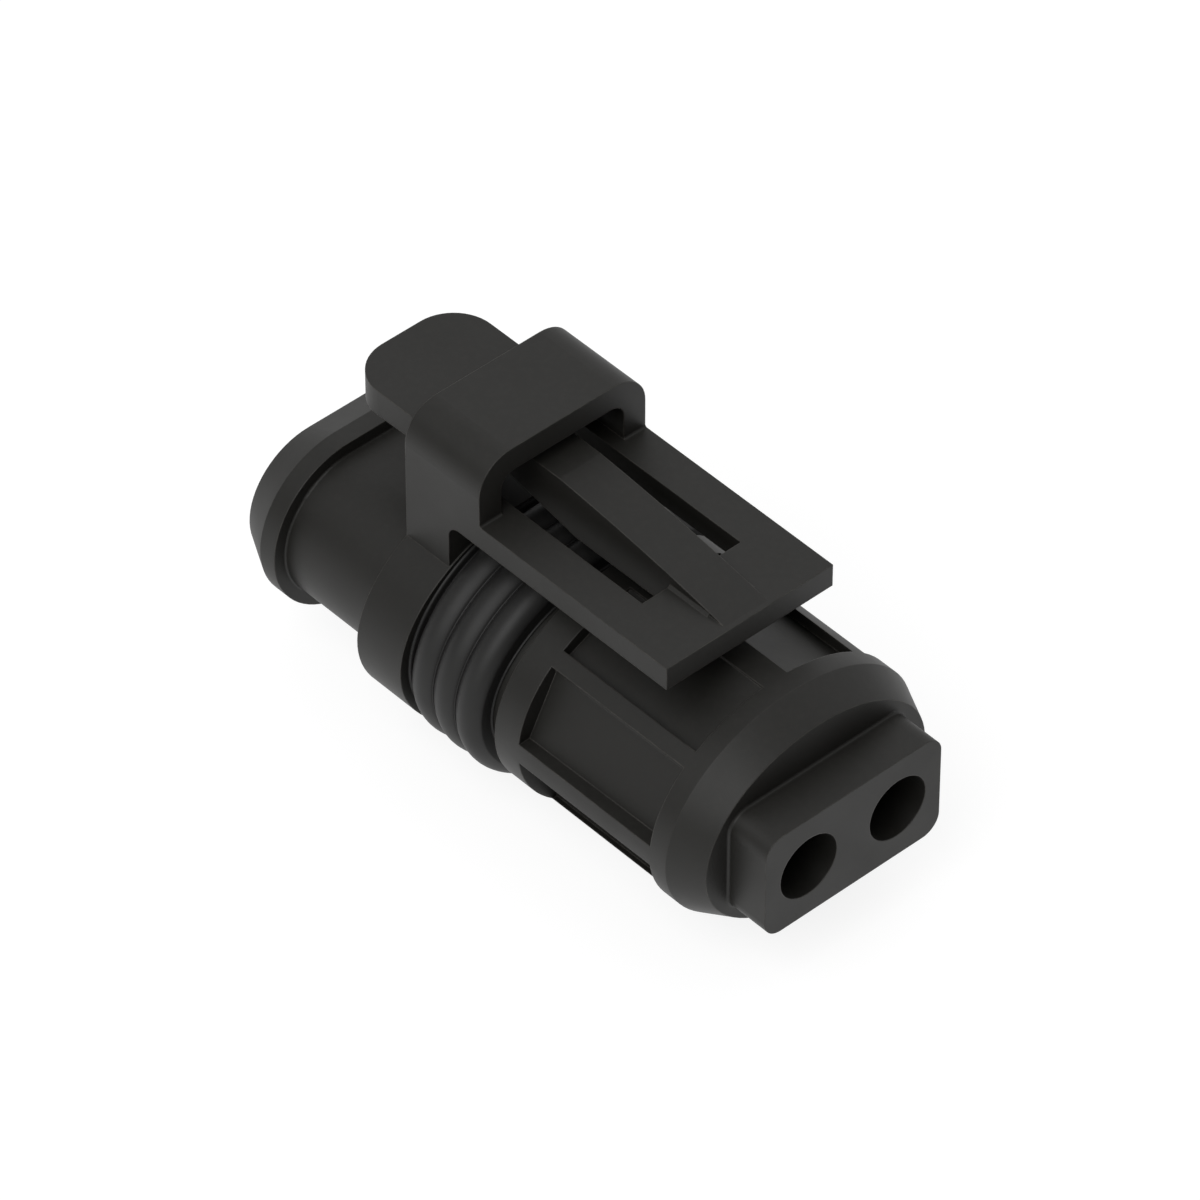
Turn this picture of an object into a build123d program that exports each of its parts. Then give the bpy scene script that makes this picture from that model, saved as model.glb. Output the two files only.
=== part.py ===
from build123d import *
import os

# Sealed two-way plug of an in-line pair: housing with latch, oval seal, front lock, contacts, wire seals.
# Millimetres. Origin at the middle of the nose's mating face, +X towards the mate, +Z to the latch side.

# Contact layout
pitch = 6.0

# Nose with the two tab openings
nose_width = 11.8
nose_height = 6.5
nose_corner = 1.1
nose_length = 2.65
nose_bore_r = 1.89
nose_root_fillet = 0.15

# Front lock: an oval body with a chamfered ring, pockets and bars
oval_a = 8.3
oval_b = 6.65
ring_chamfer_length = 1.95
ring_chamfer_height = 0.9
ring_land = 1.15
pocket_length = 9.63
rear_rim_length = 1.77
side_bar_half = 0.63
side_pocket_top = 4.55
top_bar_half = 0.8
top_pocket_outer = 5.25
bar_web = 0.5
core_side_rear = 7.87
core_side_front = 7.73
core_corner_y = 5.62
core_corner_z = 4.26
core_apex = 6.86

# How the lock slides on the tower
lock_travel = 0.85
slide_clearance = 0.05
stop_clearance = 0.05
nose_wall = 0.3
lock_mouth_wall = 0.4
detent_width = 3.0
detent_length = 1.0
detent_height = 0.35
detent_setback = 4.0

# Tower that carries the seal and reaches into the lock
seat_a = 7.6
seat_b = 5.55
tower_width = 11.4
tower_height = 7.0
tower_corner = 1.5
tower_front_wall = 0.8
tab_opening_r = 1.3

# Oval seal with round ribs
rib_count = 3
rib_pitch = 1.64
rib_height = 0.62
seal_rear_lip = 0.53
seal_inset_side = 0.55
seal_inset_top = 0.12
seal_fit = 0.03

# Collar behind the seal, neck and rear flange
collar_a = 8.95
collar_b = 6.72
collar_length = 3.28
slot_half = 3.1
neck_r = 4.4
neck_length = 7.2
flange_r = 5.15
flange_rim = 1.1
flange_chamfer_length = 2.1
flange_rear_r = 4.07
flange_root_fillet = 0.1

# Latch frame, bridge and lever
latch_half = 5.54
plate_top = 9.57
plate_thickness = 1.4
plate_length = 13.67
slot_setback = 4.24
slot_outer = 3.28
bridge_length = 5.53
bridge_top = 13.48
bridge_wall = 1.45
bridge_outer_r = 2.1
bridge_inner_r = 0.9
strut_length = 3.2
strut_fillet = 0.8
bridge_foot_fillet = 0.15
slot_inner = 1.6
lever_top = 11.15
lever_top_half = 1.38
lever_under_half = 1.5
lever_flat = 6.8
lever_bow = 0.17
lever_under_flat = 6.8
lever_run_out = 0.3
lever_foot = 0.15
lever_foot_run_out = 1.1
pad_half = 3.78
pad_reach = 6.6
pad_tuck = 1.6
pad_front_thickness = 1.49
pad_rear_thickness = 1.75
pad_rear_corner = 2.5
pad_front_corner = 0.8
pad_clearance = 0.35

# Cavities for the contacts and their wire seals
wire_bore_r = 2.65
wire_bore_depth = 8.8
chamber_width = 3.9
chamber_height = 4.1
chamber_corner = 0.5
nib_length = 1.2
nib_height = 0.95
nib_width = 1.8

# Stamped socket contact
sheet = 0.3
box_width = 2.8
box_height = 2.8
box_length = 8.2
box_gap = 0.05
spring_width = 1.7
spring_length = 5.0
spring_setback = 0.6
spring_drop = 0.85
strap_width = 1.8
wire_barrel_r = 1.25
wire_barrel_side = 1.3
wire_barrel_length = 3.2
wire_barrel_setback = 2.0
seal_barrel_r = 1.9
seal_barrel_length = 3.0
seal_barrel_setback = 3.2
seal_barrel_slit = 0.5
strap_level = 1.0

# Wire seal behind each contact
wire_hole_r = 0.85
wire_seal_fit = 0.03
wire_seal_valley_r = 2.15
wire_seal_recess = 0.9
wire_rib_count = 3
wire_rib_width = 1.3

# Stations along the plug, counted back from the mating face
contact_y = pitch / 2
x_ring = -nose_length
x_land = x_ring - ring_chamfer_length
x_pocket = x_land - ring_land
x_rim = x_pocket - pocket_length
x_lock_rear = x_rim - rear_rim_length
x_seal_front = x_lock_rear - lock_travel - stop_clearance
x_collar = x_seal_front - rib_count * rib_pitch - seal_rear_lip
x_neck = x_collar - collar_length
x_flange = x_neck - neck_length
x_flange_edge = x_flange - flange_rim
x_rear = x_flange_edge - flange_chamfer_length
x_lock_floor = x_ring - nose_wall
x_tower = x_lock_floor - lock_travel - stop_clearance
x_lock_mouth = x_rim - lock_mouth_wall
x_tower_step = x_lock_mouth - lock_travel - stop_clearance
x_detent = x_tower - detent_setback
x_bridge = x_neck + bridge_length
x_plate = x_bridge + plate_length
x_slot = x_plate - slot_setback
x_crease = x_neck + lever_flat
x_knee = x_slot - lever_under_flat
x_lever_front = x_plate - lever_run_out
x_strut = x_neck + strut_length
x_pad_front = x_neck + pad_tuck
x_pad_rear = x_neck - pad_reach
x_wire_step = x_rear + wire_bore_depth
x_contact = x_tower - tower_front_wall - box_gap
x_box_rear = x_contact - box_length
x_nib = x_box_rear - box_gap
x_wire_barrel = x_box_rear - wire_barrel_setback
x_wire_barrel_rear = x_wire_barrel - wire_barrel_length
x_seal_barrel = x_wire_barrel_rear - seal_barrel_setback
x_wire_seal_rear = x_rear + wire_seal_recess
x_wire_seal_body = x_wire_step - box_gap

# Heights and outlines
seal_a = collar_a - seal_inset_side
seal_b = collar_b - seal_inset_top
plate_under = plate_top - plate_thickness
tower_half = tower_height / 2
chamber_roof = chamber_height / 2
strap_under = -box_height / 2


def edges_across(part, x, half_y, half_z):
    # Edges in the plane at x, with their middles inside the given half sizes
    level = part.edges().filter_by_position(Axis.X, x - 0.001, x + 0.001)
    return level.filter_by(lambda e: abs(e.center().Y) < half_y + 0.01 and abs(e.center().Z) < half_z + 0.01)


# Thumb pad of the lever, thicker at its free end
with BuildPart() as thumb_pad:
    with BuildSketch(Plane.XZ):
        with BuildLine():
            Polyline(
                (x_pad_front, lever_top),
                (x_pad_rear, lever_top),
                (x_pad_rear, lever_top - pad_rear_thickness),
                (x_neck, lever_top - pad_front_thickness),
                (x_pad_front, lever_top - pad_front_thickness),
                close=True,
            )
        make_face()
    extrude(amount=pad_half, both=True)
    fillet(thumb_pad.edges().filter_by(Axis.Z).group_by(Axis.X)[0], pad_rear_corner)
    fillet(thumb_pad.edges().filter_by(Axis.Z).group_by(Axis.X)[-1], pad_front_corner)

# Lever: flat under the bridge, then a bowed ramp that runs out on the plate, with drafted sides
with BuildPart() as lever:
    with BuildSketch(Plane.XZ):
        with BuildLine():
            Polyline(
                (x_lever_front, plate_top),
                (x_lever_front, plate_under),
                (x_knee, plate_under),
                (x_neck, lever_top - pad_front_thickness),
                (x_neck, lever_top),
                (x_crease, lever_top),
            )
            ThreePointArc(
                (x_crease, lever_top),
                ((x_crease + x_lever_front) / 2, (lever_top + plate_top) / 2 + lever_bow),
                (x_lever_front, plate_top),
            )
        make_face()
    extrude(amount=slot_inner, both=True)
    with BuildSketch(Plane.YZ.offset(x_neck)):
        Polygon(
            (-lever_under_half, plate_under),
            (lever_under_half, plate_under),
            (lever_top_half, lever_top),
            (-lever_top_half, lever_top),
            align=None,
        )
    extrude(amount=x_lever_front - x_neck, mode=Mode.INTERSECT)
    with BuildSketch(Plane.YZ.offset(x_slot)):
        Polygon(
            (-slot_inner, plate_under),
            (slot_inner, plate_under),
            (slot_inner, plate_top),
            (lever_under_half - lever_foot / 2, plate_top + lever_foot),
            (lever_foot / 2 - lever_under_half, plate_top + lever_foot),
            (-slot_inner, plate_top),
            align=None,
        )
    extrude(amount=x_lever_front - lever_foot_run_out - x_slot)

# Opening under the bridge
with BuildSketch() as bridge_opening:
    with Locations((0, plate_top)):
        Rectangle(
            2 * (latch_half - bridge_wall),
            bridge_top - bridge_wall - plate_top,
            align=(Align.CENTER, Align.MIN),
        )
    fillet(bridge_opening.vertices().group_by(Axis.Y)[-1], bridge_inner_r)


# Housing, one moulding from the rear flange to the tower, with the latch on top
with BuildPart() as housing:
    # Rear flange with its chamfer, and the neck in front of it
    with BuildSketch(Plane.YZ.offset(x_rear)):
        SlotCenterToCenter(2 * slot_half, 2 * flange_rear_r)
    with BuildSketch(Plane.YZ.offset(x_flange_edge)):
        SlotCenterToCenter(2 * slot_half, 2 * flange_r)
    loft(ruled=True)
    with BuildSketch(Plane.YZ.offset(x_flange_edge)):
        SlotCenterToCenter(2 * slot_half, 2 * flange_r)
    extrude(amount=flange_rim)
    with BuildSketch(Plane.YZ.offset(x_flange)):
        SlotCenterToCenter(2 * slot_half, 2 * neck_r)
    extrude(amount=neck_length)
    fillet(edges_across(housing, x_flange, slot_half + neck_r, neck_r), flange_root_fillet)

    # Collar, seal seat and tower
    with BuildSketch(Plane.YZ.offset(x_neck)):
        Ellipse(collar_a, collar_b)
    extrude(amount=collar_length)
    with BuildSketch(Plane.YZ.offset(x_collar)):
        Ellipse(seat_a, seat_b)
    extrude(amount=x_tower_step - x_collar)
    with BuildSketch(Plane.YZ.offset(x_tower_step)):
        RectangleRounded(tower_width, tower_height, tower_corner)
    extrude(amount=x_tower - x_tower_step)

    # Ramped detents above and below the tower that keep the lock on
    with BuildSketch(Plane.XZ):
        with BuildLine():
            Polyline(
                (x_detent, tower_half),
                (x_detent - detent_length, tower_half),
                (x_detent - detent_length, tower_half + detent_height),
                (x_detent - detent_length / 2, tower_half + detent_height),
                close=True,
            )
        make_face()
        mirror(about=Plane.XZ)
    extrude(amount=detent_width / 2, both=True)

    # Side struts that stand on the collar
    with BuildSketch(Plane.XY):
        with Locations((x_neck, latch_half), (x_neck, bridge_wall - latch_half)):
            Rectangle(strut_length, bridge_wall, align=(Align.MIN, Align.MAX))
    extrude(amount=plate_under)

    # Latch frame: a front plate with two side rails
    with BuildSketch(Plane.XY.offset(plate_under)):
        with Locations((x_neck, 0)):
            Rectangle(x_plate - x_neck, 2 * latch_half, align=(Align.MIN, Align.CENTER))
            Rectangle(
                x_slot - x_neck,
                2 * slot_outer,
                align=(Align.MIN, Align.CENTER),
                mode=Mode.SUBTRACT,
            )
            Rectangle(
                pad_tuck + pad_clearance,
                2 * (latch_half - bridge_wall),
                align=(Align.MIN, Align.CENTER),
                mode=Mode.SUBTRACT,
            )
    extrude(amount=plate_thickness)
    strut_corners = housing.edges().filter_by(Axis.Y).filter_by_position(Axis.X, x_strut - 0.01, x_strut + 0.01)
    fillet(strut_corners.filter_by_position(Axis.Z, plate_under - 0.01, plate_under + 0.01), strut_fillet)

    # Bridge over the lever
    with BuildSketch(Plane.YZ.offset(x_neck)) as arch:
        with Locations((0, plate_top)):
            Rectangle(2 * latch_half, bridge_top - plate_top, align=(Align.CENTER, Align.MIN))
        fillet(arch.vertices().group_by(Axis.Y)[-1], bridge_outer_r)
        add(bridge_opening.sketch, mode=Mode.SUBTRACT)
    extrude(amount=bridge_length)
    bridge_feet = housing.edges().filter_by(Axis.Y).filter_by_position(Axis.X, x_bridge - 0.01, x_bridge + 0.01)
    fillet(bridge_feet.filter_by_position(Axis.Z, plate_top - 0.01, plate_top + 0.01), bridge_foot_fillet)

    # Lever and thumb pad
    add(lever.part)
    add(thumb_pad.part)

    # Wire seal bores from the rear, then the contact chambers and the tab openings
    with BuildSketch(Plane.YZ.offset(x_rear)):
        with Locations((contact_y, 0), (-contact_y, 0)):
            Circle(wire_bore_r)
    extrude(amount=wire_bore_depth, mode=Mode.SUBTRACT)
    with BuildSketch(Plane.YZ.offset(x_wire_step)):
        with Locations((contact_y, 0), (-contact_y, 0)):
            RectangleRounded(chamber_width, chamber_height, chamber_corner)
    extrude(amount=x_tower - tower_front_wall - x_wire_step, mode=Mode.SUBTRACT)
    with BuildSketch(Plane.YZ.offset(x_tower)):
        with Locations((contact_y, 0), (-contact_y, 0)):
            Circle(tab_opening_r)
    extrude(amount=-tower_front_wall, mode=Mode.SUBTRACT)

    # Nibs that hold each contact by the rear of its box
    for y in (contact_y, -contact_y):
        with BuildSketch(Plane.XZ.offset(-y)):
            with BuildLine():
                Polyline(
                    (x_nib, chamber_roof),
                    (x_nib, chamber_roof - nib_height),
                    (x_nib - nib_length, chamber_roof),
                    close=True,
                )
            make_face()
        extrude(amount=nib_width / 2, both=True)
housing.part.label = "housing"


# Pockets of the lock: windows all round, down to a core whose sides are drafted
with BuildPart() as pockets:
    with BuildSketch(Plane.YZ.offset(x_rim)):
        with Locations((top_pocket_outer + bar_web, side_bar_half)):
            Rectangle(oval_a, side_pocket_top - side_bar_half, align=(Align.MIN, Align.MIN))
        with Locations((top_bar_half, core_corner_z)):
            Rectangle(top_pocket_outer - top_bar_half, oval_b, align=(Align.MIN, Align.MIN))
        mirror(about=Plane.YZ)
        mirror(about=Plane.XZ)
    extrude(amount=pocket_length)
    for x, core_side in ((x_rim, core_side_rear), (x_pocket, core_side_front)):
        with BuildSketch(Plane.YZ.offset(x)):
            Polygon(
                (core_side, 0),
                (core_corner_y, core_corner_z),
                (0, core_apex),
                (-core_corner_y, core_corner_z),
                (-core_side, 0),
                (-core_corner_y, -core_corner_z),
                (0, -core_apex),
                (core_corner_y, -core_corner_z),
                align=None,
            )
    loft(ruled=True, mode=Mode.SUBTRACT)

# Front lock: oval body with pockets, ring and nose, a sleeve over the tower
with BuildPart() as front_lock:
    with BuildSketch(Plane.YZ.offset(x_lock_rear)):
        Ellipse(oval_a, oval_b)
    extrude(amount=x_land - x_lock_rear)
    with BuildSketch(Plane.YZ.offset(x_land)):
        Ellipse(oval_a, oval_b)
    with BuildSketch(Plane.YZ.offset(x_ring)):
        Ellipse(oval_a - ring_chamfer_height, oval_b - ring_chamfer_height)
    loft(ruled=True)

    # Pockets outside the core
    add(pockets.part, mode=Mode.SUBTRACT)

    # Nose
    with BuildSketch(Plane.YZ.offset(x_ring)):
        RectangleRounded(nose_width, nose_height, nose_corner)
    extrude(amount=nose_length)
    fillet(edges_across(front_lock, x_ring, nose_width / 2, nose_height / 2), nose_root_fillet)

    # Sleeve: the mouth over the seal seat, then the fit on the tower
    with BuildSketch(Plane.YZ.offset(x_lock_rear)):
        Ellipse(seat_a + slide_clearance, seat_b + slide_clearance)
    extrude(amount=x_lock_mouth - x_lock_rear, mode=Mode.SUBTRACT)
    with BuildSketch(Plane.YZ.offset(x_lock_mouth)):
        RectangleRounded(
            tower_width + 2 * slide_clearance,
            tower_height + 2 * slide_clearance,
            tower_corner + slide_clearance,
        )
    extrude(amount=x_lock_floor - x_lock_mouth, mode=Mode.SUBTRACT)

    # Recess that lets the detents travel
    with BuildSketch(Plane.XY):
        with Locations((x_detent - detent_length - stop_clearance, 0)):
            Rectangle(
                detent_length + lock_travel + 2 * stop_clearance,
                detent_width + 2 * slide_clearance,
                align=(Align.MIN, Align.CENTER),
            )
    extrude(amount=tower_half + detent_height + slide_clearance, both=True, mode=Mode.SUBTRACT)

    # Tab openings through the nose
    with BuildSketch(Plane.YZ.offset(x_lock_floor)):
        with Locations((contact_y, 0), (-contact_y, 0)):
            Circle(nose_bore_r)
    extrude(amount=-x_lock_floor, mode=Mode.SUBTRACT)
front_lock.part.label = "front_lock"


# One round rib of the oval seal
with BuildPart() as seal_rib:
    with BuildSketch(Plane.YZ):
        Ellipse(seal_a + rib_height, seal_b + rib_height)
    extrude(amount=rib_pitch)
    fillet(seal_rib.edges(), 0.48 * rib_pitch)

# Oval seal on its seat
with BuildPart() as interface_seal:
    with BuildSketch(Plane.YZ.offset(x_collar)):
        Ellipse(seal_a, seal_b)
    extrude(amount=x_seal_front - x_collar)
    with Locations([(x_collar + seal_rear_lip + i * rib_pitch, 0, 0) for i in range(rib_count)]):
        add(seal_rib.part)
    with BuildSketch(Plane.YZ.offset(x_collar)):
        Ellipse(seat_a + seal_fit, seat_b + seal_fit)
    extrude(amount=x_seal_front - x_collar, mode=Mode.SUBTRACT)
interface_seal.part.label = "interface_seal"


# Socket contact, stamped and folded from one sheet
with BuildPart() as contact:
    with BuildSketch(Plane.YZ.offset(x_box_rear)):
        Rectangle(box_width, box_height)
        Rectangle(box_width - 2 * sheet, box_height - 2 * sheet, mode=Mode.SUBTRACT)
    extrude(amount=box_length)

    # Bowed spring under the roof of the box
    spring_front = x_contact - spring_setback
    spring_middle = spring_front - spring_length / 2
    spring_rear = spring_front - spring_length
    box_roof = box_height / 2 - sheet
    with BuildSketch(Plane.XZ):
        with BuildLine():
            lower = ThreePointArc(
                (spring_front, box_roof),
                (spring_middle, box_roof - spring_drop),
                (spring_rear, box_roof),
            )
            upper = ThreePointArc(
                (spring_front, box_roof + sheet),
                (spring_middle, box_roof + sheet - spring_drop),
                (spring_rear, box_roof + sheet),
            )
            Line(lower @ 0, upper @ 0)
            Line(lower @ 1, upper @ 1)
        make_face()
    extrude(amount=spring_width / 2, both=True)

    # Straps from the box to the wire barrel, and stepped down to the seal barrel
    with BuildSketch(Plane.XZ):
        with BuildLine():
            Polyline(
                (x_box_rear, strap_under),
                (x_box_rear, strap_under + sheet),
                (x_wire_barrel, strap_under + sheet),
                (x_wire_barrel, strap_under),
                close=True,
            )
        make_face()
        with BuildLine():
            Polyline(
                (x_wire_barrel_rear, strap_under),
                (x_wire_barrel_rear, strap_under + sheet),
                (x_wire_barrel_rear - strap_level, strap_under + sheet),
                (x_seal_barrel + strap_level, sheet - seal_barrel_r),
                (x_seal_barrel, sheet - seal_barrel_r),
                (x_seal_barrel, -seal_barrel_r),
                (x_seal_barrel + strap_level, -seal_barrel_r),
                (x_wire_barrel_rear - strap_level, strap_under),
                close=True,
            )
        make_face()
    extrude(amount=strap_width / 2, both=True)

    # Wire barrel, still open, and the ring that grips the wire seal's neck
    with BuildSketch(Plane.YZ.offset(x_wire_barrel_rear)):
        with Locations((0, strap_under + wire_barrel_r)):
            Circle(wire_barrel_r)
            Rectangle(2 * wire_barrel_r, wire_barrel_side, align=(Align.CENTER, Align.MIN))
            Circle(wire_barrel_r - sheet, mode=Mode.SUBTRACT)
            Rectangle(
                2 * (wire_barrel_r - sheet),
                wire_barrel_side,
                align=(Align.CENTER, Align.MIN),
                mode=Mode.SUBTRACT,
            )
    extrude(amount=wire_barrel_length)
    with BuildSketch(Plane.YZ.offset(x_seal_barrel - seal_barrel_length)):
        Circle(seal_barrel_r)
        Circle(seal_barrel_r - sheet, mode=Mode.SUBTRACT)
        Rectangle(
            seal_barrel_slit,
            seal_barrel_r,
            align=(Align.CENTER, Align.MIN),
            mode=Mode.SUBTRACT,
        )
    extrude(amount=seal_barrel_length)

with BuildPart() as contact_left:
    with Locations((0, contact_y, 0)):
        add(contact.part)
contact_left.part.label = "contact_left"

with BuildPart() as contact_right:
    with Locations((0, -contact_y, 0)):
        add(contact.part)
contact_right.part.label = "contact_right"


# Wire seal: a ribbed bush whose neck the contact's rear ring grips
neck_front = x_seal_barrel - stop_clearance
wire_neck_r = seal_barrel_r - sheet - wire_seal_fit
wire_rib_r = wire_bore_r - wire_seal_fit
wire_rib_step = (x_wire_seal_body - x_wire_seal_rear - wire_rib_width) / (wire_rib_count - 1)
with BuildPart() as wire_seal:
    with BuildSketch(Plane.YZ.offset(x_wire_seal_rear)):
        Circle(wire_seal_valley_r)
    extrude(amount=x_wire_seal_body - x_wire_seal_rear)
    with BuildSketch(Plane.YZ.offset(x_wire_seal_body)):
        Circle(wire_neck_r)
    extrude(amount=neck_front - x_wire_seal_body)
    for i in range(wire_rib_count):
        with BuildSketch(Plane.YZ.offset(x_wire_seal_rear + i * wire_rib_step)):
            Circle(wire_rib_r)
        extrude(amount=wire_rib_width)
    rims = wire_seal.edges().filter_by(GeomType.CIRCLE)
    fillet(rims.filter_by(lambda e: abs(e.radius - wire_rib_r) < 0.001), 0.7 * (wire_rib_r - wire_seal_valley_r))
    with BuildSketch(Plane.YZ.offset(x_wire_seal_rear)):
        Circle(wire_hole_r)
    extrude(amount=neck_front - x_wire_seal_rear, mode=Mode.SUBTRACT)

with BuildPart() as wire_seal_left:
    with Locations((0, contact_y, 0)):
        add(wire_seal.part)
wire_seal_left.part.label = "wire_seal_left"

with BuildPart() as wire_seal_right:
    with Locations((0, -contact_y, 0)):
        add(wire_seal.part)
wire_seal_right.part.label = "wire_seal_right"


os.makedirs("parts", exist_ok=True)
export_step(housing.part, "parts/housing.step")
export_step(front_lock.part, "parts/front_lock.step")
export_step(interface_seal.part, "parts/interface_seal.step")
export_step(contact_left.part, "parts/contact_left.step")
export_step(contact_right.part, "parts/contact_right.step")
export_step(wire_seal_left.part, "parts/wire_seal_left.step")
export_step(wire_seal_right.part, "parts/wire_seal_right.step")
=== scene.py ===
import math

import bpy
from mathutils import Matrix, Vector


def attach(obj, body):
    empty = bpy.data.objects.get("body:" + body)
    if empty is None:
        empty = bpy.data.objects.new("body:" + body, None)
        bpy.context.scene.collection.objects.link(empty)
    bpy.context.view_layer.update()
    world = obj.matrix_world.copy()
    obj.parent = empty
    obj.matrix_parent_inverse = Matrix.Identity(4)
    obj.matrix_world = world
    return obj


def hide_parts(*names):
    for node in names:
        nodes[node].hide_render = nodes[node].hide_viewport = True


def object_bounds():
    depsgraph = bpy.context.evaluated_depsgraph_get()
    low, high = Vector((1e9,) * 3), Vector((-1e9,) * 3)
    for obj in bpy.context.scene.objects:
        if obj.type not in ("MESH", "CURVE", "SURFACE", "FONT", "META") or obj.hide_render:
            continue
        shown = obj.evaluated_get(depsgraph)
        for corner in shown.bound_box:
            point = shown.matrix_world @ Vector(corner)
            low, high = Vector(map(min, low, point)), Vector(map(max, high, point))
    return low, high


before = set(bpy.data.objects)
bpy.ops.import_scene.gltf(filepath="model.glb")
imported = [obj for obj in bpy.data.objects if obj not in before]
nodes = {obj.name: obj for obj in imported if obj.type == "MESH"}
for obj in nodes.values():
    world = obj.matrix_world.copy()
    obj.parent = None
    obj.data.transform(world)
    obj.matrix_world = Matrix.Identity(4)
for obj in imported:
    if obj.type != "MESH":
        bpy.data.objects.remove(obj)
cadLow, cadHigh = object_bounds()
mm = 0.001
white = (1.0, 1.0, 1.0, 1.0)

for obj in bpy.context.selected_objects:
    obj.select_set(False)
print("frame loaded:", len(nodes), "solids")


# small helpers for node trees

def addNode(tree, kind, place, **values):
    node = tree.nodes.new(kind)
    node.location = place
    for key, value in values.items():
        setattr(node, key, value)
    return node


def setInputs(node, **values):
    for key, value in values.items():
        node.inputs[key].default_value = value


def addMath(tree, place, operation, second=None):
    node = addNode(tree, "ShaderNodeMath", place, operation=operation)
    if second is not None:
        node.inputs[1].default_value = second
    return node


def addRange(tree, place, before, after=(0.0, 1.0)):
    ramp = addNode(tree, "ShaderNodeMapRange", place)
    labels = ("From Min", "From Max", "To Min", "To Max")
    setInputs(ramp, **dict(zip(labels, before + after)))
    return ramp


def addMix(tree, place, colour):
    node = addNode(tree, "ShaderNodeMix", place, data_type="RGBA")
    node.inputs["B"].default_value = (*colour, 1.0)
    return node


def addNoise(tree, place, detail, roughness):
    node = addNode(tree, "ShaderNodeTexNoise", place)
    setInputs(node, Detail=detail, Roughness=roughness)
    return node


def addMmCoord(tree, x, y):  # object coordinates counted in millimetres
    coord = addNode(tree, "ShaderNodeTexCoord", (x, y))
    toMm = addNode(tree, "ShaderNodeMapping", (x + 200, y))
    setInputs(toMm, Scale=(1 / mm, 1 / mm, 1 / mm))
    tree.links.new(coord.outputs["Object"], toMm.inputs["Vector"])
    return toMm.outputs["Vector"]


def emptyTree(owner):
    owner.use_nodes = True
    owner.node_tree.nodes.clear()
    return owner.node_tree


def newGroup(name, inputs, outputs):
    group = bpy.data.node_groups.new(name, "ShaderNodeTree")
    for label, value in inputs:
        socket = group.interface.new_socket(name=label, in_out="INPUT", socket_type="NodeSocketFloat")
        socket.default_value = value
    for label, kind in outputs:
        group.interface.new_socket(name=label, in_out="OUTPUT", socket_type=kind)
    into = addNode(group, "NodeGroupInput", (-900, 0))
    out = addNode(group, "NodeGroupOutput", (700, 0))
    return group, into, out


# grain of a spark-eroded mould, with the slow change of sheen that the melt leaves

grainSetup = {
    "fineDetail": 2.0, "fineRoughness": 0.55,
    "slowDetail": 3.0, "slowRoughness": 0.5,
    "fleckReach": 0.35,
}


def buildMouldGrain():
    setup = grainSetup
    group, into, out = newGroup(
        "mouldGrain",
        [("Grains per mm", 16.0), ("Sheen per mm", 0.25)],
        [("Height", "NodeSocketFloat"), ("Sheen", "NodeSocketFloat"), ("Fleck", "NodeSocketFloat")],
    )
    link = group.links.new
    inMm = addMmCoord(group, -900, 300)
    fine = addNoise(group, (-400, 300), setup["fineDetail"], setup["fineRoughness"])
    slow = addNoise(group, (-400, 0), setup["slowDetail"], setup["slowRoughness"])
    fleck = addNode(group, "ShaderNodeTexVoronoi", (-400, -300))
    fleckRamp = addRange(group, (0, -300), (0.0, setup["fleckReach"]), (1.0, 0.0))
    for texture in (fine, slow, fleck):
        link(inMm, texture.inputs["Vector"])
    link(into.outputs["Grains per mm"], fine.inputs["Scale"])
    link(into.outputs["Grains per mm"], fleck.inputs["Scale"])
    link(into.outputs["Sheen per mm"], slow.inputs["Scale"])
    link(fleck.outputs["Distance"], fleckRamp.inputs["Value"])
    link(fine.outputs["Fac"], out.inputs["Height"])
    link(slow.outputs["Fac"], out.inputs["Sheen"])
    link(fleckRamp.outputs["Result"], out.inputs["Fleck"])
    return group


# the small radius that every moulded or stamped edge has, and a mask that lightens edges, partly as
# real wear and partly as painted edge highlight

edgeSetup = {
    "samples": 6,
    "turned": (0.995, 0.86),  # cosine of the softened normal's turn, from no edge lightening to full, which is partly real wear and partly painted edge highlight
    "patchDetail": 2.0, "patchRoughness": 0.6,
    "patches": (0.35, 0.65), "patchWearAndHighlight": (0.35, 1.0),
}


def buildEdgeSoftening():
    setup = edgeSetup
    group, into, out = newGroup(
        "edgeSoftening",
        [("Edge radius", 0.0001), ("Patches per mm", 0.6)],
        [("Normal", "NodeSocketVector"), ("Wear and highlight", "NodeSocketFloat")],
    )
    link = group.links.new
    rounded = addNode(group, "ShaderNodeBevel", (-600, 100), samples=setup["samples"])
    geometry = addNode(group, "ShaderNodeNewGeometry", (-600, -100))
    dot = addNode(group, "ShaderNodeVectorMath", (-350, 0), operation="DOT_PRODUCT")
    spread = addRange(group, (-100, 0), setup["turned"])
    inMm = addMmCoord(group, -900, -350)
    patches = addNoise(group, (-400, -350), setup["patchDetail"], setup["patchRoughness"])
    patchRamp = addRange(group, (-100, -350), setup["patches"], setup["patchWearAndHighlight"])
    # edge mask times patches: real edge wear, and also where a painted edge highlight is put on edges
    # and corners
    wornAndHighlit = addMath(group, (250, -100), "MULTIPLY")
    link(into.outputs["Edge radius"], rounded.inputs["Radius"])
    link(rounded.outputs["Normal"], dot.inputs[0])
    link(geometry.outputs["Normal"], dot.inputs[1])
    link(dot.outputs["Value"], spread.inputs["Value"])
    link(inMm, patches.inputs["Vector"])
    link(into.outputs["Patches per mm"], patches.inputs["Scale"])
    link(patches.outputs["Fac"], patchRamp.inputs["Value"])
    link(spread.outputs["Result"], wornAndHighlit.inputs[0])
    link(patchRamp.outputs["Result"], wornAndHighlit.inputs[1])
    link(rounded.outputs["Normal"], out.inputs["Normal"])
    link(wornAndHighlit.outputs["Value"], out.inputs["Wear and highlight"])
    return group


# the thin film of dust that lies on what faces up

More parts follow.
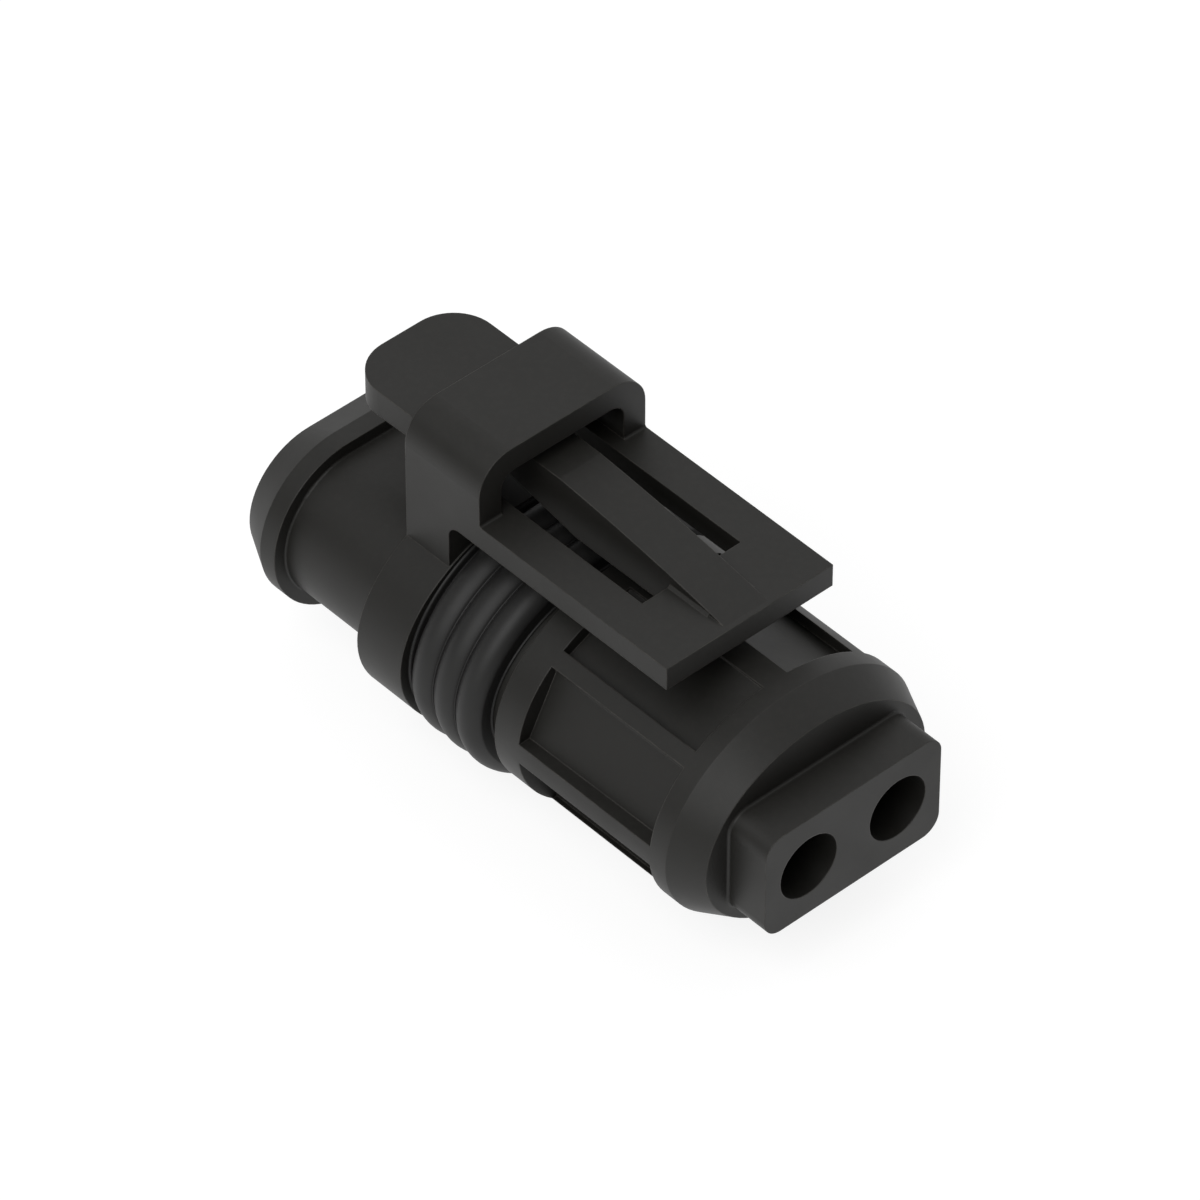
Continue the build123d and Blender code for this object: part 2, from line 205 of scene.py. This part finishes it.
dustSetup = {
    "colour": (0.30, 0.28, 0.25),
    "upward": (0.2, 1.0),
    "speckDetail": 4.0, "speckRoughness": 0.65, "specks": (0.45, 0.75),
}


def buildDustFilm():
    setup = dustSetup
    group, into, out = newGroup(
        "dustFilm",
        [("Specks per mm", 3.0), ("Amount", 0.1)],
        [("Dust", "NodeSocketFloat")],
    )
    link = group.links.new
    geometry = addNode(group, "ShaderNodeNewGeometry", (-900, 250))
    split = addNode(group, "ShaderNodeSeparateXYZ", (-700, 250))
    facing = addRange(group, (-450, 250), setup["upward"])
    inMm = addMmCoord(group, -900, -150)
    specks = addNoise(group, (-450, -150), setup["speckDetail"], setup["speckRoughness"])
    speckRamp = addRange(group, (-200, -150), setup["specks"])
    both = addMath(group, (50, 50), "MULTIPLY")
    amount = addMath(group, (300, 50), "MULTIPLY")
    link(geometry.outputs["Normal"], split.inputs["Vector"])
    link(split.outputs["Z"], facing.inputs["Value"])
    link(inMm, specks.inputs["Vector"])
    link(into.outputs["Specks per mm"], specks.inputs["Scale"])
    link(specks.outputs["Fac"], speckRamp.inputs["Value"])
    link(facing.outputs["Result"], both.inputs[0])
    link(speckRamp.outputs["Result"], both.inputs[1])
    link(both.outputs["Value"], amount.inputs[0])
    link(into.outputs["Amount"], amount.inputs[1])
    link(amount.outputs["Value"], out.inputs["Dust"])
    return group


mouldGrain = buildMouldGrain()
edgeSoftening = buildEdgeSoftening()
dustFilm = buildDustFilm()
print("shared effects ready")


# one recipe for plastic, rubber and tinned sheet

sheenRange = (0.3, 0.7)  # the part of the slow noise that the roughness follows


def makeFinish(name, look):
    mat = bpy.data.materials.new(name)
    mat.diffuse_color = (*look["colour"], 1.0)
    tree = emptyTree(mat)
    link = tree.links.new
    out = addNode(tree, "ShaderNodeOutputMaterial", (900, 0))
    skin = addNode(tree, "ShaderNodeBsdfPrincipled", (600, 0))
    setInputs(skin, Metallic=look.get("metallic", 0.0), IOR=look["ior"])
    grain = addNode(tree, "ShaderNodeGroup", (-700, 200), node_tree=mouldGrain)
    setInputs(grain, **{"Grains per mm": look["grainsPerMm"], "Sheen per mm": look["sheenPerMm"]})
    edge = addNode(tree, "ShaderNodeGroup", (-700, -100), node_tree=edgeSoftening)
    setInputs(edge, **{"Edge radius": look["edgeRadius"], "Patches per mm": look["patchesPerMm"]})
    dust = addNode(tree, "ShaderNodeGroup", (-700, -350), node_tree=dustFilm)
    setInputs(dust, **{"Specks per mm": look["specksPerMm"], "Amount": look["dust"]})

    # colour: two shades by the slow noise, then flecks, lighter edges that are partly real wear and
    # partly painted edge highlight, and dust
    shades = addMix(tree, (-350, 400), look["otherShade"])
    shades.inputs["A"].default_value = (*look["colour"], 1.0)
    flecks = addMix(tree, (-100, 400), look["fleckColour"])
    fleckShare = addMath(tree, (-350, 150), "MULTIPLY", look["flecks"])
    wearAndHighlightShare = addMath(tree, (-350, -50), "MULTIPLY", look["wearAndHighlight"])
    # lighter colour on edges and corners: partly real wear and partly painted edge highlight
    wornAndHighlit = addMix(tree, (100, 400), look["wearAndHighlightColour"])
    dusty = addMix(tree, (300, 400), dustSetup["colour"])
    link(grain.outputs["Sheen"], shades.inputs["Factor"])
    link(grain.outputs["Fleck"], fleckShare.inputs[0])
    link(fleckShare.outputs["Value"], flecks.inputs["Factor"])
    link(shades.outputs["Result"], flecks.inputs["A"])
    link(edge.outputs["Wear and highlight"], wearAndHighlightShare.inputs[0])
    link(wearAndHighlightShare.outputs["Value"], wornAndHighlit.inputs["Factor"])
    link(flecks.outputs["Result"], wornAndHighlit.inputs["A"])
    link(wornAndHighlit.outputs["Result"], dusty.inputs["A"])
    link(dust.outputs["Dust"], dusty.inputs["Factor"])
    link(dusty.outputs["Result"], skin.inputs["Base Color"])

    # roughness follows the sheen, and the lightened edges are a little more polished
    rough = addRange(tree, (-100, -100), sheenRange, (look["roughLow"], look["roughHigh"]))
    polish = addMath(tree, (-100, -350), "MULTIPLY", look["polish"])
    smoother = addMath(tree, (150, -150), "SUBTRACT")
    link(grain.outputs["Sheen"], rough.inputs["Value"])
    link(edge.outputs["Wear and highlight"], polish.inputs[0])
    link(rough.outputs["Result"], smoother.inputs[0])
    link(polish.outputs["Value"], smoother.inputs[1])
    link(smoother.outputs["Value"], skin.inputs["Roughness"])

    # relief of the grain on top of the softened edges
    relief = addNode(tree, "ShaderNodeBump", (350, -350))
    setInputs(relief, Strength=look["reliefStrength"], Distance=look["reliefDepth"])
    link(grain.outputs["Height"], relief.inputs["Height"])
    link(edge.outputs["Normal"], relief.inputs["Normal"])
    link(relief.outputs["Normal"], skin.inputs["Normal"])
    link(skin.outputs["BSDF"], out.inputs["Surface"])
    return mat


housingLook = {
    "colour": (0.0092, 0.0087, 0.0072), "otherShade": (0.0116, 0.0110, 0.0094),
    "fleckColour": (0.032, 0.030, 0.026), "flecks": 0.12,
    # the lighter edge colour and its share below are partly real wear and partly a painted edge
    # highlight
    "wearAndHighlightColour": (0.085, 0.080, 0.070), "wearAndHighlight": 0.65, "polish": 0.08,
    "roughLow": 0.49, "roughHigh": 0.55, "ior": 1.42,
    "grainsPerMm": 14.0, "sheenPerMm": 0.22, "patchesPerMm": 0.7,
    "edgeRadius": 0.09 * mm, "reliefStrength": 0.35, "reliefDepth": 0.004 * mm,
    "specksPerMm": 2.5, "dust": 0.012,
}
lockLook = dict(housingLook, sheenPerMm=0.30, roughLow=0.48, roughHigh=0.54)
sealLook = {
    "colour": (0.0106, 0.0104, 0.0100), "otherShade": (0.0134, 0.0131, 0.0126),
    "fleckColour": (0.026, 0.026, 0.027), "flecks": 0.10,
    # the lighter edge colour and its share below are partly real wear and partly a painted edge
    # highlight
    "wearAndHighlightColour": (0.020, 0.020, 0.020), "wearAndHighlight": 0.20, "polish": 0.02,
    "roughLow": 0.50, "roughHigh": 0.58, "ior": 1.42,
    "grainsPerMm": 9.0, "sheenPerMm": 0.40, "patchesPerMm": 0.5,
    "edgeRadius": 0.03 * mm, "reliefStrength": 0.30, "reliefDepth": 0.005 * mm,
    "specksPerMm": 3.5, "dust": 0.010,
}
wireSealLook = dict(
    sealLook,
    colour=(0.085, 0.105, 0.115), otherShade=(0.105, 0.125, 0.135),
    fleckColour=(0.16, 0.18, 0.19), wearAndHighlightColour=(0.14, 0.16, 0.17),
    roughLow=0.42, roughHigh=0.50,
)
contactLook = {
    "colour": (0.74, 0.72, 0.68), "otherShade": (0.66, 0.63, 0.58),
    "fleckColour": (0.50, 0.47, 0.42), "flecks": 0.25,
    "wearAndHighlightColour": (0.72, 0.55, 0.30), "wearAndHighlight": 0.45, "polish": 0.05,
    "roughLow": 0.24, "roughHigh": 0.36, "metallic": 1.0, "ior": 1.5,
    "grainsPerMm": 12.0, "sheenPerMm": 0.8, "patchesPerMm": 1.5,
    "edgeRadius": 0.04 * mm, "reliefStrength": 0.25, "reliefDepth": 0.002 * mm,
    "specksPerMm": 3.0, "dust": 0.0,
}

blackSeal = makeFinish("black_seal_rubber", sealLook)
greyWireSeal = makeFinish("grey_wire_seal_rubber", wireSealLook)
tinnedSheet = makeFinish("tinned_sheet", contactLook)
finishOf = {
    "housing": makeFinish("black_moulding", housingLook),
    "front_lock": makeFinish("black_lock_moulding", lockLook),
    "interface_seal": blackSeal,
    "contact_left": tinnedSheet,
    "contact_right": tinnedSheet,
    "wire_seal_left": greyWireSeal,
    "wire_seal_right": greyWireSeal,
}
for name, mat in finishOf.items():
    mesh = nodes[name].data
    mesh.materials.clear()
    mesh.materials.append(mat)
print("finishes on all solids")


# the oval seal, in mm: three round ribs, a groove behind them and a thin bead at each end

sealSetup = {
    "rear": -23.5, "length": 5.45,
    "body": (8.40, 6.60), "valley": (8.61, 6.64), "seat": (7.63, 5.58),  # half width, half height
    "rearBead": [(0.0, 0.03), (0.05, 0.025), (0.10, 0.0), (0.135, -0.05), (0.15, -0.12)],
    "grooveDepth": 0.38, "grooveEnd": 0.51,
    "ribCount": 3, "ribStart": 0.53, "ribPitch": 1.64, "ribHeight": 0.36,
    "ribRound": 1.12, "rise": (-46, -38, -30, -22, -14, -6), "fall": (2, 10, 18, 26, 33, 39),
    "lastRound": 0.85, "lastFall": (2, 12, 22, 32, 42, 52, 62, 70, 75),
    "notch": [(0.73, 0.055), (0.785, 0.050), (0.80, 0.0)],
    "faceRound": 0.03,
    "frontBead": [
        (-0.055, 0.105), (-0.050, 0.075), (-0.025, 0.060), (0.015, 0.050),
        (0.038, 0.030), (0.045, 0.012), (0.040, 0.0),
    ],
    "around": 240, "creaseDegrees": 35,
}


def raised(oval, x, h):
    return (x, oval[0] + h, oval[1] + h)


def sealRings():
    setup = sealSetup
    rings = [raised(setup["body"], x, h) for x, h in setup["rearBead"]]
    for x in (rings[-1][0], setup["grooveEnd"]):
        rings.append(raised(setup["body"], x, -setup["grooveDepth"]))
    for rib in range(setup["ribCount"]):
        last = rib == setup["ribCount"] - 1
        middle = setup["ribStart"] + (rib + 0.5) * setup["ribPitch"]
        across = [(setup["ribRound"], degrees) for degrees in setup["rise"]]
        if last:
            across += [(setup["lastRound"], degrees) for degrees in setup["lastFall"]]
        else:
            across += [(setup["ribRound"], degrees) for degrees in setup["fall"]]
        for bend, degrees in across:
            turn = math.radians(degrees)
            h = setup["ribHeight"] - bend * (1 - math.cos(turn))
            rings.append(raised(setup["valley"], middle + bend * math.sin(turn), h))
        if not last:
            rings += [raised(setup["valley"], middle + x, h) for x, h in setup["notch"]]
    rings.append(raised(rings[-1][1:], setup["length"], -setup["faceRound"]))
    rings += [raised(setup["seat"], setup["length"] + x, h) for x, h in setup["frontBead"]]
    rings.append(raised(setup["seat"], 0.0, 0.0))
    return rings


def makeSeal():
    rings = sealRings()
    rear = sealSetup["rear"]
    first = rings[0]
    bpy.ops.object.select_all(action="DESELECT")
    bpy.ops.mesh.primitive_circle_add(
        vertices=sealSetup["around"], radius=mm,
        location=((rear + first[0]) * mm, 0, 0), rotation=(0, math.pi / 2, 0),
    )
    seal = bpy.context.object
    seal.name = "ribbed_seal"
    bpy.ops.object.transform_apply(location=True, rotation=True, scale=True)
    bpy.ops.object.mode_set(mode="EDIT")
    bpy.ops.mesh.select_all(action="SELECT")
    bpy.ops.transform.resize(value=(1, first[1], first[2]), center_override=(0, 0, 0))
    for before, after in zip(rings, rings[1:]):
        step = ((after[0] - before[0]) * mm, 0, 0)
        bpy.ops.mesh.extrude_region_move(TRANSFORM_OT_translate={"value": step})
        bpy.ops.transform.resize(
            value=(1, after[1] / before[1], after[2] / before[2]),
            center_override=((rear + after[0]) * mm, 0, 0),
        )
    bpy.ops.mesh.select_all(action="DESELECT")
    bpy.ops.mesh.select_non_manifold()
    bpy.ops.mesh.bridge_edge_loops()
    bpy.ops.mesh.select_all(action="SELECT")
    bpy.ops.mesh.normals_make_consistent(inside=False)
    bpy.ops.object.mode_set(mode="OBJECT")
    bpy.ops.object.shade_smooth_by_angle(angle=math.radians(sealSetup["creaseDegrees"]))
    seal.data.materials.append(blackSeal)
    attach(seal, "housing")
    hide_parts("interface_seal")
    seal.select_set(False)
    return seal


ribbedSeal = makeSeal()
print("seal ready:", len(ribbedSeal.data.polygons), "faces")


# pale floor: seen directly it glows near white but keeps the plug's shadow

floorSetup = {
    "size": 8.0,
    "colour": (0.85, 0.85, 0.85, 1.0),
    "shadowColour": (0.22, 0.22, 0.22, 1.0),
    "glow": 0.85,
}


def makeFloorFinish():
    mat = bpy.data.materials.new("pale_floor")
    tree = emptyTree(mat)
    link = tree.links.new
    out = addNode(tree, "ShaderNodeOutputMaterial", (600, 0))
    pick = addNode(tree, "ShaderNodeMixShader", (400, 0))
    lightPath = addNode(tree, "ShaderNodeLightPath", (-400, 300))
    seen = addMath(tree, (-150, 300), "MAXIMUM")
    seenToo = addMath(tree, (50, 300), "MAXIMUM")
    plain = addNode(tree, "ShaderNodeBsdfDiffuse", (100, 50))
    setInputs(plain, Color=floorSetup["colour"])
    shaded = addNode(tree, "ShaderNodeBsdfDiffuse", (-100, -150))
    setInputs(shaded, Color=floorSetup["shadowColour"])
    glow = addNode(tree, "ShaderNodeEmission", (-100, -300))
    setInputs(glow, Color=white, Strength=floorSetup["glow"])
    both = addNode(tree, "ShaderNodeAddShader", (150, -200))
    link(lightPath.outputs["Is Camera Ray"], seen.inputs[0])
    link(lightPath.outputs["Is Glossy Ray"], seen.inputs[1])
    link(seen.outputs["Value"], seenToo.inputs[0])
    link(lightPath.outputs["Is Transmission Ray"], seenToo.inputs[1])
    link(seenToo.outputs["Value"], pick.inputs["Fac"])
    link(plain.outputs["BSDF"], pick.inputs[1])
    link(shaded.outputs["BSDF"], both.inputs[0])
    link(glow.outputs["Emission"], both.inputs[1])
    link(both.outputs["Shader"], pick.inputs[2])
    link(pick.outputs["Shader"], out.inputs["Surface"])
    return mat


bpy.ops.mesh.primitive_plane_add(size=floorSetup["size"], location=(cadLow.x, 0, cadLow.z))
floor = bpy.context.object
floor.name = "floor"
bpy.ops.object.transform_apply(location=True, rotation=True, scale=True)
floor.data.materials.append(makeFloorFinish())


# a studio room that gets lighter towards its back wall and ceiling

roomSetup = {"lightSide": (-0.32, 0.62, 0.64), "dimmest": 0.11}


def makeRoom():
    world = bpy.data.worlds.new("studio_room")
    tree = emptyTree(world)
    link = tree.links.new
    out = addNode(tree, "ShaderNodeOutputWorld", (600, 0))
    wall = addNode(tree, "ShaderNodeBackground", (400, 0))
    setInputs(wall, Color=white)
    coord = addNode(tree, "ShaderNodeTexCoord", (-400, 0))
    towards = addNode(tree, "ShaderNodeVectorMath", (-150, 0), operation="DOT_PRODUCT")
    towards.inputs[1].default_value = roomSetup["lightSide"]
    level = addMath(tree, (100, 0), "MAXIMUM", roomSetup["dimmest"])
    link(coord.outputs["Generated"], towards.inputs[0])
    link(towards.outputs["Value"], level.inputs[0])
    link(level.outputs["Value"], wall.inputs["Strength"])
    link(wall.outputs["Background"], out.inputs["Surface"])
    return world


bpy.context.scene.world = makeRoom()


# one large round softbox above the left side, and the photo's camera, fitted to its edges

softboxSetup = {"towards": (0.12, -0.66, 0.74), "distance": 0.60, "diameter": 0.56, "watts": 2.6}
cameraSetup = {
    "eye": (0.21861, -0.21492, 0.30441), "azimuth": 47.811, "elevation": 43.278,
    "lens": 263.99, "sensorWidth": 36.0, "clipStart": 0.01, "clipEnd": 20.0,
}


def placeInScene(name, data, eye, turn):
    obj = bpy.data.objects.new(name, data)
    bpy.context.scene.collection.objects.link(obj)
    obj.matrix_world = Matrix.Translation(eye) @ turn
    return obj


def addSoftbox():
    setup = softboxSetup
    data = bpy.data.lights.new("softbox", "AREA")
    data.shape = "DISK"
    data.size = setup["diameter"]
    data.energy = setup["watts"]
    aim = Vector(setup["towards"]).normalized()
    middle = (cadLow + cadHigh) / 2
    turn = aim.to_track_quat("Z", "Y").to_matrix().to_4x4()
    return placeInScene("softbox", data, middle + aim * setup["distance"], turn)


def addCamera():
    setup = cameraSetup
    data = bpy.data.cameras.new("photo_camera")
    data.lens = setup["lens"]
    data.sensor_width = setup["sensorWidth"]
    data.clip_start = setup["clipStart"]
    data.clip_end = setup["clipEnd"]
    azimuth = math.radians(setup["azimuth"])
    elevation = math.radians(setup["elevation"])
    backward = Vector((
        math.sin(azimuth) * math.cos(elevation),
        -math.cos(azimuth) * math.cos(elevation),
        math.sin(elevation),
    ))
    sideways = Vector((math.cos(azimuth), math.sin(azimuth), 0.0))
    upward = backward.cross(sideways)
    turn = Matrix((sideways, upward, backward)).transposed().to_4x4()
    return placeInScene("photo_camera", data, Vector(setup["eye"]), turn)


addSoftbox()
bpy.context.scene.camera = addCamera()
bpy.context.scene.view_settings.view_transform = "Standard"
print("floor, light and camera set")
